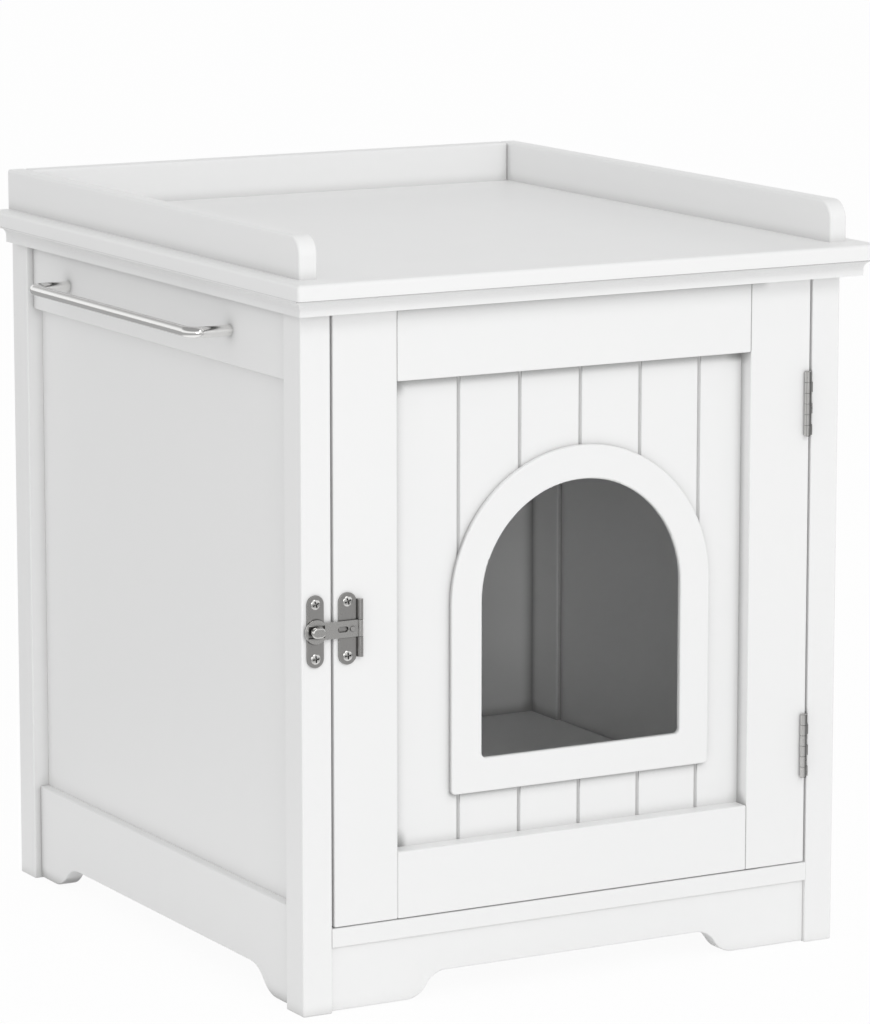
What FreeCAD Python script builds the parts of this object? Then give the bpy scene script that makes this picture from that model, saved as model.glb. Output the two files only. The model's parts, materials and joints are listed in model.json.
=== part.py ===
import FreeCAD, Part
import os
import re
import Sketcher

doc = FreeCAD.newDocument("CatCabinet")
sheet = doc.addObject("Spreadsheet::Sheet", "Sizes")

# Driving dimensions in millimetres: origin on the floor under the middle of the carcass,
# +X to the right, +Y to the back, +Z up
sizes = {
    # carcass over its posts
    "carcass_width": 476.0,
    "carcass_depth": 514.0,
    "post_width": 25.0,
    "post_depth": 28.0,
    "post_height": 549.8,
    "edge_round": 1.2,
    "foot_lift": 1.0,
    # rails and panels of the sides and the back
    "rail_thickness": 15.0,
    "side_rail_recess": 5.7,
    "top_rail_height": 67.8,
    "bottom_rail_height": 78.0,
    "panel_thickness": 5.0,
    "side_panel_cheek": 2.0,
    "back_rail_recess": 3.0,
    "back_panel_recess": 72.0,
    "back_rail_lift": 20.0,
    "batten_thickness": 5.0,
    "batten_width": 43.0,
    "groove_depth": 6.0,
    "groove_clearance": 0.2,
    # scroll-cut feet
    "scroll_height": 19.5,
    "apron_recess": 3.0,
    "apron_foot": 66.0,
    "apron_scroll": 34.0,
    "side_foot": 28.0,
    "side_scroll": 44.0,
    # ledge under the door and the floor behind it
    "ledge_height": 51.0,
    "ledge_thickness": 15.0,
    "floor_height": 90.0,
    "floor_thickness": 15.0,
    "cleat_width": 12.0,
    "cleat_height": 30.0,
    # top with its cove moulding and gallery
    "top_thickness": 12.2,
    "top_side_overhang": 17.2,
    "top_front_overhang": 30.7,
    "top_back_overhang": 1.6,
    "top_edge_round": 3.0,
    "moulding_height": 13.5,
    "moulding_band": 4.5,
    "moulding_lip": 1.5,
    "moulding_cove": 6.8,
    "moulding_cove_sag": 2.2,
    "moulding_side_reach": 9.7,
    "moulding_front_reach": 18.0,
    "moulding_rear_gap": 10.0,
    "gallery_height": 32.5,
    "gallery_thickness": 15.0,
    "gallery_side_inset": 14.6,
    "gallery_front_inset": 26.4,
    "gallery_corner_round": 15.0,
    "gallery_edge_round": 2.0,
    # towel bar
    "bar_radius": 4.4,
    "bar_length": 290.0,
    "bar_panel_clearance": 16.8,
    "bar_drop": 41.4,
    "bar_stand_off": 32.9,
    "bar_bend_radius": 9.0,
    "bar_screw_radius": 2.0,
    "bar_screw_grip": 12.0,
    "bar_screw_head_radius": 4.0,
    "bar_screw_head_height": 2.2,
    # door
    "door_side_gap": 2.1,
    "door_top_gap": 2.0,
    "door_bottom_gap": 0.8,
    "door_thickness": 20.0,
    "stile_width": 54.4,
    "door_top_rail_height": 54.3,
    "door_bottom_rail_height": 52.2,
    "door_panel_thickness": 5.5,
    "rabbet_width": 10.0,
    "rabbet_clearance": 0.2,
    "stop_width": 10.0,
    "stop_depth": 10.0,
    "stop_clearance": 0.3,
    # bead board and arch
    "pattern_shift": 11.0,
    "bead_pitch": 53.5,
    "bead_groove_width": 3.2,
    "bead_groove_depth": 3.4,
    "arch_sill": 114.7,
    "arch_side_gap": 41.2,
    "arch_head_gap": 62.5,
    "arch_corner_round": 4.0,
    "trim_width": 26.5,
    "trim_thickness": 5.0,
    "trim_lap": 6.0,
    "trim_edge_round": 1.5,
    # dowels
    "dowel_radius": 4.0,
    "dowel_length": 24.0,
    "dowel_clearance": 0.05,
    "dowel_end_gap": 0.5,
    "dowel_pitch": 30.0,
    "apron_dowel_height": 23.0,
    # butt hinges
    "hinge_length": 50.8,
    "upper_hinge_drop": 98.1,
    "lower_hinge_rise": 95.4,
    "barrel_radius": 2.6,
    "barrel_inset": 3.0,
    "barrel_proud": 0.4,
    "knuckle_gap": 0.3,
    "leaf_clearance": 0.2,
    "leaf_depth": 16.0,
    "leaf_screw_pitch": 30.5,
    "leaf_screw_inset": 10.0,
    "pin_radius": 1.3,
    "pin_clearance": 0.05,
    "pin_head_height": 0.6,
    # wood screws of hinges and latch
    "screw_head_radius": 2.6,
    "screw_head_height": 1.5,
    "screw_radius": 1.2,
    "screw_length": 12.0,
    # latch: post plate with turn staple, hinged hasp on the door
    "latch_rise": 229.9,
    "latch_plate_length": 55.0,
    "latch_plate_width": 13.8,
    "latch_plate_thickness": 1.5,
    "latch_plate_inset": 11.0,
    "latch_screw_inset": 6.7,
    "latch_screw_head_radius": 4.2,
    "hasp_plate_edge": 3.5,
    "hasp_plate_width": 15.0,
    "hasp_barrel_length": 44.0,
    "hasp_barrel_clearance": 0.3,
    "hasp_pin_radius": 1.1,
    "hasp_thickness": 1.6,
    "hasp_height": 12.8,
    "hasp_eye_wall": 2.3,
    "hasp_eye_clearance": 1.2,
    "hasp_slot_length": 9.0,
    "hasp_slot_height": 4.4,
    "hasp_slot_start": 8.6,
    "hasp_stud_radius": 1.8,
    "hasp_stud_height": 1.0,
    "hasp_stud_gap": 3.2,
    "staple_head_length": 11.5,
    "staple_head_width": 8.2,
    "staple_head_thickness": 4.5,
    "staple_neck_radius": 2.8,
    "staple_stem_radius": 1.6,
    "staple_flange_radius": 2.4,
    "staple_flange_height": 0.9,
    "staple_clearance": 0.3,
}
bead_groove_count = 5
knuckle_count = 6

for row, (alias, millimetres) in enumerate(sizes.items(), start=1):
    sheet.set(f"A{row}", alias)
    sheet.set(f"B{row}", str(millimetres))
    sheet.setAlias(f"B{row}", alias)
doc.recompute()

nodes = []


def bound(text):
    """Turn the size names in an expression into references to the sheet."""
    return re.sub(r"[a-z][a-z_]*", lambda m: "Sizes." + m[0] if m[0] in sizes else m[0], text)


def number(text):
    return float(sheet.evalExpression(bound(text)))


def bind(obj, prop, text):
    obj.setExpression(prop, bound(text))


def place(obj, at, turn=None):
    if turn:
        obj.Placement = FreeCAD.Placement(FreeCAD.Vector(), turn)
    for axis, text in zip("xyz", at):
        bind(obj, f"Placement.Base.{axis}", text)


def node(obj, label):
    """Mark a finished sub-part, whose label names its file."""
    obj.Label = label
    nodes.append(obj)
    return obj


# Sketches and the features of a body

normal_sign = {"XY": 1, "XZ": -1, "YZ": 1}


def new_body(name, at):
    body = doc.addObject("PartDesign::Body", name)
    place(body, at)
    return body


def new_sketch(body, plane, offset="0"):
    sketch = body.newObject("Sketcher::SketchObject", f"{body.Name}_outline")
    support = next(f for f in body.Origin.OriginFeatures if f.Role == f"{plane}_Plane")
    sketch.AttachmentSupport = [(support, "")]
    sketch.MapMode = "FlatFace"
    bind(sketch, "AttachmentOffset.Base.z", f"{normal_sign[plane]} * ({offset})")
    return sketch


def sag_of_quarter(radius):
    return f"({radius}) * (1 - cos(45 deg))"


def add_outline(sketch, corners, closed=True):
    """Add lines and arcs through the corners, each corner held at its expressions.

    A corner is (u, v) after a straight edge, or (u, v, "out" or "in", sag) after an arc that
    bulges by sag out of, or into, the outline.
    """
    spots = [FreeCAD.Vector(number(c[0]), number(c[1]), 0) for c in corners]
    area = sum(a.x * b.y - b.x * a.y for a, b in zip(spots, spots[1:] + spots[:1]))
    first = sketch.GeometryCount
    ends = []
    for i in range(0 if closed else 1, len(corners)):
        start, end, corner = spots[i - 1], spots[i], corners[i]
        index = sketch.GeometryCount
        if len(corner) == 2:
            sketch.addGeometry(Part.LineSegment(start, end), False)
            ends.append((index, 1, 2))
            continue
        before = corners[i - 1]
        chord = f"sqrt((({corner[0]}) - ({before[0]}))^2 + (({corner[1]}) - ({before[1]}))^2)"
        radius = f"({chord})^2 / (8 * ({corner[3]})) + ({corner[3]}) / 2"
        rightward = (corner[2] == "out") == (area > 0)
        along = (end - start).normalize()
        right = FreeCAD.Vector(along.y, -along.x, 0)
        crown = (start + end) / 2 + right * number(corner[3]) * (1 if rightward else -1)
        sketch.addGeometry(Part.Arc(start, crown, end), False)
        ends.append((index, 1, 2) if rightward else (index, 2, 1))
        held = sketch.addConstraint(Sketcher.Constraint("Radius", index, number(radius)))
        sketch.renameConstraint(held, f"r{index}")
        bind(sketch, f"Constraints.r{index}", radius)
    for here, after in zip(ends, ends[1:] + ends[:1] if closed else ends[1:]):
        sketch.addConstraint(Sketcher.Constraint("Coincident", here[0], here[2], after[0], after[1]))
    held_points = [(e[0], e[2]) for e in ends]
    if not closed:
        held_points.insert(0, (ends[0][0], ends[0][1]))
    for i, (corner, (index, point)) in enumerate(zip(corners, held_points)):
        for kind, letter, text in (("DistanceX", "u", corner[0]), ("DistanceY", "v", corner[1])):
            name = f"{letter}{first + i}"
            held = sketch.addConstraint(Sketcher.Constraint(kind, -1, 1, index, point, number(text)))
            sketch.renameConstraint(held, name)
            bind(sketch, f"Constraints.{name}", text)


def add_circle(sketch, u, v, radius):
    index = sketch.addGeometry(
        Part.Circle(FreeCAD.Vector(number(u), number(v), 0), FreeCAD.Vector(0, 0, 1), number(radius)), False)
    for kind, letter, text in (("DistanceX", "cu", u), ("DistanceY", "cv", v)):
        held = sketch.addConstraint(Sketcher.Constraint(kind, -1, 1, index, 3, number(text)))
        sketch.renameConstraint(held, f"{letter}{index}")
        bind(sketch, f"Constraints.{letter}{index}", text)
    held = sketch.addConstraint(Sketcher.Constraint("Radius", index, number(radius)))
    sketch.renameConstraint(held, f"cr{index}")
    bind(sketch, f"Constraints.cr{index}", radius)


def pad(body, sketch, plane, length, along=1):
    feature = body.newObject("PartDesign::Pad", f"{body.Name}_pad")
    feature.Profile = sketch
    bind(feature, "Length", length)
    feature.Reversed = along * normal_sign[plane] < 0
    return feature


def pocket(body, sketch, plane, length, along=1):
    """Cut the sketch out of the body, and make sure that the cut met the solid."""
    doc.recompute()
    before = body.Shape.Volume
    feature = body.newObject("PartDesign::Pocket", f"{body.Name}_pocket")
    feature.Profile = sketch
    bind(feature, "Length", length)
    feature.Reversed = along * normal_sign[plane] > 0
    doc.recompute()
    if not body.Shape.Volume < before:
        raise RuntimeError(f"{feature.Name} cuts nothing")
    return feature


def ease(body, feature, radius="edge_round", wanted=None):
    """Round every edge of the body, as on painted board, or only the wanted ones."""
    fillet = body.newObject("PartDesign::Fillet", f"{body.Name}_round")
    if wanted:
        doc.recompute()
        names = [f"Edge{i}" for i, edge in enumerate(feature.Shape.Edges, start=1) if wanted(edge)]
        fillet.Base = (feature, names)
    else:
        fillet.Base = (feature, ["Face1"])
        fillet.UseAllEdges = True
    bind(fillet, "Radius", radius)
    return fillet


def rectangle(width, height):
    return [("0", "0"), (width, "0"), (width, height), ("0", height)]


def above_base(edge):
    """Every edge but those that a glued-down board stands on."""
    return edge.BoundBox.ZMax > 1e-6


def upright(edge):
    return edge.BoundBox.ZLength > 1e-6


def board(name, plane, at, width, height, thickness, radius="edge_round", wanted=None):
    """A plain board with eased edges, from its lowest corner."""
    return shaped_board(name, plane, at, rectangle(width, height), thickness, radius, wanted)


def shaped_board(name, plane, at, corners, thickness, radius="edge_round", wanted=None):
    body = new_body(name, at)
    sketch = new_sketch(body, plane)
    add_outline(sketch, corners)
    feature = pad(body, sketch, plane, thickness)
    if radius:
        ease(body, feature, radius, wanted)
    return body


# Primitives and booleans

turns = {
    "+x": FreeCAD.Rotation(FreeCAD.Vector(0, 1, 0), 90),
    "-x": FreeCAD.Rotation(FreeCAD.Vector(0, 1, 0), -90),
    "+y": FreeCAD.Rotation(FreeCAD.Vector(1, 0, 0), -90),
    "-y": FreeCAD.Rotation(FreeCAD.Vector(1, 0, 0), 90),
    "+z": FreeCAD.Rotation(),
    "-z": FreeCAD.Rotation(FreeCAD.Vector(1, 0, 0), 180),
}


def block(name, at, length, width, height):
    obj = doc.addObject("Part::Box", name)
    bind(obj, "Length", length)
    bind(obj, "Width", width)
    bind(obj, "Height", height)
    place(obj, at)
    return obj


def rod(name, at, towards, radius, length):
    obj = doc.addObject("Part::Cylinder", name)
    bind(obj, "Radius", radius)
    bind(obj, "Height", length)
    place(obj, at, turns[towards])
    return obj


def cone(name, at, towards, radius, end_radius, length):
    obj = doc.addObject("Part::Cone", name)
    bind(obj, "Radius1", radius)
    bind(obj, "Radius2", end_radius)
    bind(obj, "Height", length)
    place(obj, at, turns[towards])
    return obj


def join(name, pieces):
    obj = doc.addObject("Part::MultiFuse", name)
    obj.Shapes = pieces
    return obj


def group(name, pieces):
    obj = doc.addObject("Part::Compound", name)
    obj.Links = pieces
    return obj


def cut(name, base, tools):
    obj = doc.addObject("Part::Cut", name)
    obj.Base = base
    obj.Tool = group(f"{name}_tools", tools)
    return obj


def screw(name, at, towards, head_radius="screw_head_radius", head_height="screw_head_height"):
    """A countersunk wood screw, from the middle of its head's face."""
    head = cone(f"{name}_head", at, towards, head_radius, "screw_radius", head_height)
    shank = rod(f"{name}_shank", at, towards, "screw_radius", "screw_length")
    return join(name, [head, shank])


# Places that several pieces share

half_width = "carcass_width / 2"
half_depth = "carcass_depth / 2"
half_opening = "(carcass_width / 2 - post_width)"
post_inner_y = "(carcass_depth / 2 - post_depth)"
head_height = "(post_height - moulding_height)"
top_rail_bottom = "(post_height - top_rail_height)"
bottom_rail_top = "(foot_lift + bottom_rail_height)"
ledge_top = "(ledge_height + ledge_thickness)"
floor_top = "(floor_height + floor_thickness)"
side_rail_inner = "(carcass_width / 2 - side_rail_recess - rail_thickness)"
side_rail_middle = "(carcass_width / 2 - side_rail_recess - rail_thickness / 2)"
side_panel_inner = f"({side_rail_inner} + side_panel_cheek)"
back_rail_inner = "(carcass_depth / 2 - back_rail_recess - rail_thickness)"
back_panel_inner = "(carcass_depth / 2 - back_panel_recess - panel_thickness)"
floor_front = f"(-{half_depth} + door_thickness + stop_clearance + stop_depth)"
floor_length = f"({back_panel_inner} + panel_thickness - {floor_front})"
tongue = "(groove_depth - groove_clearance)"
groove_width = "(panel_thickness + groove_clearance)"
door_bottom = "(ledge_height + ledge_thickness + door_bottom_gap)"
door_top = f"({head_height} - door_top_gap)"
door_half = f"({half_opening} - door_side_gap)"
stile_inner = f"({door_half} - stile_width)"
panel_low = f"({door_bottom} + door_bottom_rail_height)"
panel_high = f"({door_top} - door_top_rail_height)"
sill_height = f"({door_bottom} + arch_sill)"
arch_half = f"({stile_inner} - arch_side_gap - trim_width)"
spring_height = f"({panel_high} - arch_head_gap - trim_width - {arch_half} - {sill_height})"
bar_height = "(post_height - bar_drop)"
bar_centre = f"({back_panel_inner} - bar_panel_clearance - bar_screw_head_radius - bar_length / 2)"
latch_height = f"({door_bottom} + latch_rise)"
staple_x = "(-carcass_width / 2 + latch_plate_inset)"

# Dowels: each joins the two boards that it names

board_holes = {}
dowels = {"frame": [], "door": []}


def dowel(family, boards, middle, axis):
    name = f"{family}_dowel_{len(dowels[family])}"
    hole_length = "(dowel_length + 2 * dowel_end_gap)"
    spots = {}
    for key, length in (("pin", "dowel_length"), ("hole", hole_length)):
        at = list(middle)
        at["xyz".index(axis)] += f" - {length} / 2"
        spots[key] = at
    pin = rod(name, spots["pin"], f"+{axis}", "dowel_radius", "dowel_length")
    dowels[family].append(pin)
    for owner in boards:
        hole_name = f"{name}_hole_in_{owner}"
        hole = rod(hole_name, spots["hole"], f"+{axis}", "dowel_radius + dowel_clearance", hole_length)
        board_holes.setdefault(owner, []).append(hole)


def finish_board(label, body, cuts=()):
    """Cut a board's grooves and dowel holes, and keep it under its name."""
    tools = list(cuts) + board_holes.get(label, [])
    if not tools:
        return node(body, label)
    body.Label = f"{label}_blank"
    return node(cut(f"{label}_cut", body, tools), label)


signs = {"left": "-1", "right": "1"}
ends = {"front": "-1", "rear": "1"}

for side, sx in signs.items():
    for end, sy in ends.items():
        x = f"{sx} * {side_rail_middle}"
        y = f"{sy} * {post_inner_y}"
        for rail, first in (("top", f"{top_rail_bottom} + dowel_pitch / 2"),
                            ("bottom", f"{bottom_rail_top} - dowel_pitch * 3 / 2")):
            for step in (0, 1):
                joined = [f"side_{rail}_rail_{side}", f"post_{end}_{side}"]
                dowel("frame", joined, [x, y, f"{first} + {step} * dowel_pitch"], "y")
    # Front and back dowels pass between those of the sides
    x = f"{sx} * {half_opening}"
    apron_y = f"-{half_depth} + apron_recess + rail_thickness / 2"
    stretcher_y = f"-{half_depth} + rail_thickness / 2"
    back_y = f"{back_rail_inner} + rail_thickness / 2"
    for joined, middle in (
            (["front_apron", f"post_front_{side}"], [x, apron_y, "apron_dowel_height"]),
            (["front_stretcher", f"post_front_{side}"],
             [x, stretcher_y, "post_height - moulding_height / 2"]),
            (["back_top_rail", f"post_rear_{side}"], [x, back_y, f"{top_rail_bottom} + dowel_pitch"]),
            (["back_bottom_rail", f"post_rear_{side}"], [x, back_y, f"{bottom_rail_top} - dowel_pitch"])):
        dowel("frame", joined, middle, "x")
    x = f"{sx} * {stile_inner}"
    y = f"-{half_depth} + (door_thickness - door_panel_thickness) / 2"
    for rail, z in (("top", f"{door_top} - door_top_rail_height / 2"),
                    ("bottom", f"{door_bottom} + door_bottom_rail_height / 2")):
        for step in ("-1", "1"):
            joined = [f"door_{rail}_rail", f"door_stile_{side}"]
            dowel("door", joined, [x, y, f"{z} + {step} * dowel_pitch / 2"], "x")

# The turn staple's flange runs in a pocket behind the latch plate
board_holes["post_front_left"].append(
    rod("staple_pocket", [staple_x, f"-{half_depth}", latch_height], "+y",
        "staple_flange_radius + staple_clearance", "staple_flange_height + 2 * staple_clearance"))

# Posts, with grooves for the side panels

panel_groove_z = f"({bottom_rail_top} - groove_depth)"
panel_groove_height = f"({top_rail_bottom} - {bottom_rail_top} + 2 * groove_depth)"

for side, sx in signs.items():
    post_x = f"{sx} * ({half_width} - post_width / 2) - post_width / 2"
    groove_x = f"{sx} * ({side_panel_inner} + panel_thickness / 2) - {groove_width} / 2"
    for end, sy in ends.items():
        label = f"post_{end}_{side}"
        post_y = f"{sy} * ({half_depth} - post_depth / 2) - post_depth / 2"
        post = board(label, "XY", [post_x, post_y, "0"], "post_width", "post_depth", "post_height")
        groove_y = f"{sy} * ({post_inner_y} + groove_depth / 2) - groove_depth / 2"
        grooves = [block(f"{label}_side_groove", [groove_x, groove_y, panel_groove_z],
                         groove_width, "groove_depth", panel_groove_height)]
        finish_board(label, post, grooves)


def scroll_edge(length, foot, scroll):
    """The lower edge of a rail: foot, ogee, straight, ogee, foot, seen along the rail."""
    rise = "scroll_height / 2"
    run = f"{scroll} / 2"
    sag = f"sqrt(({run})^2 + ({rise})^2) / 2 * tan(atan(scroll_height / {scroll}) / 2)"
    return [
        ("0", "0"),
        (foot, "0"),
        (f"{foot} + {run}", rise, "out", sag),
        (f"{foot} + {scroll}", "scroll_height", "in", sag),
        (f"{length} - {foot} - {scroll}", "scroll_height"),
        (f"{length} - {foot} - {run}", rise, "in", sag),
        (f"{length} - {foot}", "0", "out", sag),
        (length, "0"),
    ]


# Side rails and panels

side_length = f"(2 * {post_inner_y})"
for side, sx in signs.items():
    rail_x = f"{sx} * {side_rail_middle} - rail_thickness / 2"
    groove_x = f"{sx} * ({side_panel_inner} + panel_thickness / 2) - {groove_width} / 2"
    start_y = f"-1 * {post_inner_y}"

    label = f"side_top_rail_{side}"
    rail = board(label, "YZ", [rail_x, start_y, top_rail_bottom],
                 side_length, "top_rail_height", "rail_thickness")
    groove = block(f"{label}_groove", [groove_x, start_y, top_rail_bottom],
                   groove_width, side_length, "groove_depth")
    finish_board(label, rail, [groove])

    label = f"side_bottom_rail_{side}"
    corners = scroll_edge(side_length, "side_foot", "side_scroll")
    corners += [(side_length, "bottom_rail_height"), ("0", "bottom_rail_height")]
    rail = shaped_board(label, "YZ", [rail_x, start_y, "foot_lift"], corners, "rail_thickness")
    groove = block(f"{label}_groove", [groove_x, start_y, panel_groove_z],
                   groove_width, side_length, "groove_depth")
    finish_board(label, rail, [groove])

    label = f"side_panel_{side}"
    panel_x = f"{sx} * ({side_panel_inner} + panel_thickness / 2) - panel_thickness / 2"
    panel = board(label, "YZ", [panel_x, f"{start_y} - {tongue}", f"{bottom_rail_top} - {tongue}"],
                  f"{side_length} + 2 * {tongue}", f"{top_rail_bottom} - {bottom_rail_top} + 2 * {tongue}",
                  "panel_thickness", radius=None)
    finish_board(label, panel)

    cleat_x = f"{sx} * ({side_rail_inner} - cleat_width / 2) - cleat_width / 2"
    cleat_at = [cleat_x, floor_front, "floor_height - cleat_height"]
    finish_board(f"floor_cleat_{side}", board(f"floor_cleat_{side}", "XY", cleat_at, "cleat_width",
                                              floor_length, "cleat_height"))

    # The back panel is held to these
    batten_x = f"{sx} * ({side_panel_inner} - batten_thickness / 2) - batten_thickness / 2"
    batten_at = [batten_x, f"{back_panel_inner} - batten_width", floor_top]
    finish_board(f"back_batten_{side}", board(f"back_batten_{side}", "XY", batten_at, "batten_thickness",
                                              "batten_width", f"{top_rail_bottom} - {floor_top}", "edge_round", upright))

# Back rails, and the back panel that stands in front of them on the floor

back_width = f"(2 * {half_opening})"
back_x = f"-1 * {half_opening}"
inner_width = f"(2 * {side_rail_inner})"
inner_x = f"-1 * {side_rail_inner}"

finish_board("back_top_rail", board("back_top_rail", "XZ", [back_x, back_rail_inner, top_rail_bottom],
                                    back_width, "top_rail_height", "rail_thickness"))

finish_board("back_bottom_rail", board("back_bottom_rail", "XZ", [back_x, back_rail_inner, "back_rail_lift"],
                                       back_width, f"{bottom_rail_top} - back_rail_lift", "rail_thickness"))

finish_board("back_panel", board("back_panel", "XZ", [inner_x, back_panel_inner, floor_top],
                                 inner_width, f"post_height - {floor_top}", "panel_thickness", radius=None))

# Ledge under the door, the floor behind the door, and the apron below the ledge


def in_ledge_front(edge):
    return edge.BoundBox.YMax < 1e-6 and edge.BoundBox.ZLength < 1e-6


finish_board("front_ledge", board("front_ledge", "XY", [back_x, f"-{half_depth}", "ledge_height"], back_width,
                                  "post_depth", "ledge_thickness", "edge_round", in_ledge_front))

finish_board("floor_board", board("floor_board", "XY", [inner_x, floor_front, "floor_height"], inner_width,
                                  floor_length, "floor_thickness", radius=None))

apron_height = "(ledge_height - foot_lift)"
corners = scroll_edge(back_width, "apron_foot", "apron_scroll")
corners += [(back_width, apron_height), ("0", apron_height)]
apron = shaped_board("front_apron", "XZ", [back_x, f"-{half_depth} + apron_recess", "foot_lift"],
                     corners, "rail_thickness")
finish_board("front_apron", apron)

stretcher = board("front_stretcher", "XZ", [back_x, f"-{half_depth}", head_height],
                  back_width, "moulding_height", "rail_thickness", radius=None)
finish_board("front_stretcher", stretcher)

stop_at = [back_x, f"-{half_depth} + door_thickness + stop_clearance", ledge_top]
finish_board("door_stop", board("door_stop", "XY", stop_at, "stop_width", "stop_depth",
                                f"{head_height} - {ledge_top}"))

# Top board and gallery

top_x = f"({half_width} + top_side_overhang)"
top_front = f"({half_depth} + top_front_overhang)"
top_back = f"({half_depth} + top_back_overhang)"
top_surface = "(post_height + top_thickness)"
finish_board("top_board", board("top_board", "XY", [f"-1 * {top_x}", f"-1 * {top_front}", "post_height"],
                                f"2 * {top_x}", f"{top_front} + {top_back}", "top_thickness",
                                "top_edge_round", above_base))

gallery_x = f"({top_x} - gallery_side_inset)"
gallery_length = f"({top_front} - gallery_front_inset + {top_back})"
for side, sx in signs.items():
    corners = [
        ("0", "0"), (gallery_length, "0"), (gallery_length, "gallery_height"),
        ("gallery_corner_round", "gallery_height"),
        ("0", "gallery_height - gallery_corner_round", "out", sag_of_quarter("gallery_corner_round")),
    ]
    rail_x = f"{sx} * ({gallery_x} - gallery_thickness / 2) - gallery_thickness / 2"
    rail_at = [rail_x, f"-1 * ({top_front} - gallery_front_inset)", top_surface]
    finish_board(f"gallery_{side}", shaped_board(f"gallery_{side}", "YZ", rail_at, corners, "gallery_thickness",
                                                 "gallery_edge_round", above_base))

gallery_back_at = [f"-1 * ({gallery_x} - gallery_thickness)", f"{top_back} - gallery_thickness", top_surface]
finish_board("gallery_back", board("gallery_back", "XZ", gallery_back_at,
                                   f"2 * ({gallery_x} - gallery_thickness)", "gallery_height",
                                   "gallery_thickness", "gallery_edge_round", above_base))


# Cove moulding under the top, mitred at the front corners

def cove_profile(reach):
    lip_height = "(moulding_height - moulding_lip)"
    return [
        ("0", "0"), ("0", "moulding_height"),
        (f"-1 * ({reach} + moulding_cove)", "moulding_height"),
        (f"-1 * ({reach} + moulding_cove)", lip_height),
        (f"-1 * {reach}", "moulding_band", "in", "moulding_cove_sag"),
        (f"-1 * {reach}", "0"),
    ]


mitre_out_x = "(moulding_side_reach + moulding_cove)"
mitre_out_y = "(moulding_front_reach + moulding_cove)"
mitre_in_y = "(moulding_front_reach - moulding_side_reach)"

body = new_body("moulding_front", [f"-1 * ({half_width} + {mitre_out_x})", f"-{half_depth}", head_height])
sketch = new_sketch(body, "YZ")
add_outline(sketch, cove_profile("moulding_front_reach"))
moulding_length = f"(carcass_width + 2 * {mitre_out_x})"
pad(body, sketch, "YZ", moulding_length)
sketch = new_sketch(body, "XY")
add_outline(sketch, [("0", "0"), ("0", f"-1 * {mitre_out_y}"),
                     (mitre_out_x, f"-1 * {mitre_in_y}"), (mitre_out_x, "0")])
far_x = f"({moulding_length} - {mitre_out_x})"
add_outline(sketch, [(moulding_length, "0"), (far_x, "0"), (far_x, f"-1 * {mitre_in_y}"),
                     (moulding_length, f"-1 * {mitre_out_y}")])
pocket(body, sketch, "XY", "moulding_height")
finish_board("moulding_front", body)

for side, sx in signs.items():
    front_y = f"-1 * ({half_depth} + {mitre_out_y})"
    body = new_body(f"moulding_{side}", [f"{sx} * {half_width}", front_y, head_height])
    sketch = new_sketch(body, "XZ")
    profile = cove_profile("moulding_side_reach")
    add_outline(sketch, [(f"-1 * {sx} * ({c[0]})", *c[1:]) for c in profile])
    pad(body, sketch, "XZ", f"carcass_depth + {mitre_out_y} - moulding_rear_gap")
    sketch = new_sketch(body, "XY")
    add_outline(sketch, [("0", "0"), ("0", f"{mitre_out_y} - {mitre_in_y}"), (f"{sx} * {mitre_out_x}", "0")])
    pocket(body, sketch, "XY", "moulding_height")
    finish_board(f"moulding_{side}", body)

# Towel bar bent from one rod, held by screws through the left top rail

rail_face = f"(-{half_width} + side_rail_recess)"
body = new_body("towel_bar", [rail_face, bar_centre, bar_height])
path = new_sketch(body, "XY")
bend_sag = sag_of_quarter("bar_bend_radius")
add_outline(path, [
    ("0", "bar_length / 2"),
    ("-1 * (bar_stand_off - bar_bend_radius)", "bar_length / 2"),
    ("-1 * bar_stand_off", "bar_length / 2 - bar_bend_radius", "out", bend_sag),
    ("-1 * bar_stand_off", "-1 * (bar_length / 2 - bar_bend_radius)"),
    ("-1 * (bar_stand_off - bar_bend_radius)", "-1 * bar_length / 2", "out", bend_sag),
    ("0", "-1 * bar_length / 2"),
], closed=False)
ring = new_sketch(body, "YZ")
add_circle(ring, "bar_length / 2", "0", "bar_radius")
pipe = body.newObject("PartDesign::AdditivePipe", "towel_bar_pipe")
pipe.Profile = ring
pipe.Spine = (path, [f"Edge{i + 1}" for i in range(path.GeometryCount)])
node(body, "towel_bar")

bar_screws = []
for name, sy in ends.items():
    y = f"{bar_centre} + {sy} * bar_length / 2"
    inner = f"-1 * {side_rail_inner}"
    head = rod(f"bar_screw_head_{name}", [inner, y, bar_height], "+x",
               "bar_screw_head_radius", "bar_screw_head_height")
    shank = rod(f"bar_screw_shank_{name}", [inner, y, bar_height], "-x",
                "bar_screw_radius", "rail_thickness + bar_screw_grip")
    bar_screws.append(join(f"bar_screw_{name}", [head, shank]))
node(group("bar_screw_group", bar_screws), "towel_bar_screws")

# Door frame, rabbeted at the back for the panel

door_front = f"-{half_depth}"
door_height = f"({door_top} - {door_bottom})"
rabbet_y = f"(-{half_depth} + door_thickness - door_panel_thickness)"
rabbet_z = f"({panel_low} - rabbet_width)"
rabbet_height = f"({panel_high} - {panel_low} + 2 * rabbet_width)"

for side, sx in signs.items():
    label = f"door_stile_{side}"
    stile_x = f"{sx} * ({door_half} - stile_width / 2) - stile_width / 2"
    stile = board(label, "XZ", [stile_x, door_front, door_bottom],
                  "stile_width", door_height, "door_thickness")
    rabbet_x = f"{sx} * ({stile_inner} + rabbet_width / 2) - rabbet_width / 2"
    rabbet = block(f"{label}_rabbet", [rabbet_x, rabbet_y, rabbet_z],
                   "rabbet_width", "door_panel_thickness", rabbet_height)
    finish_board(label, stile, [rabbet])

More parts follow.
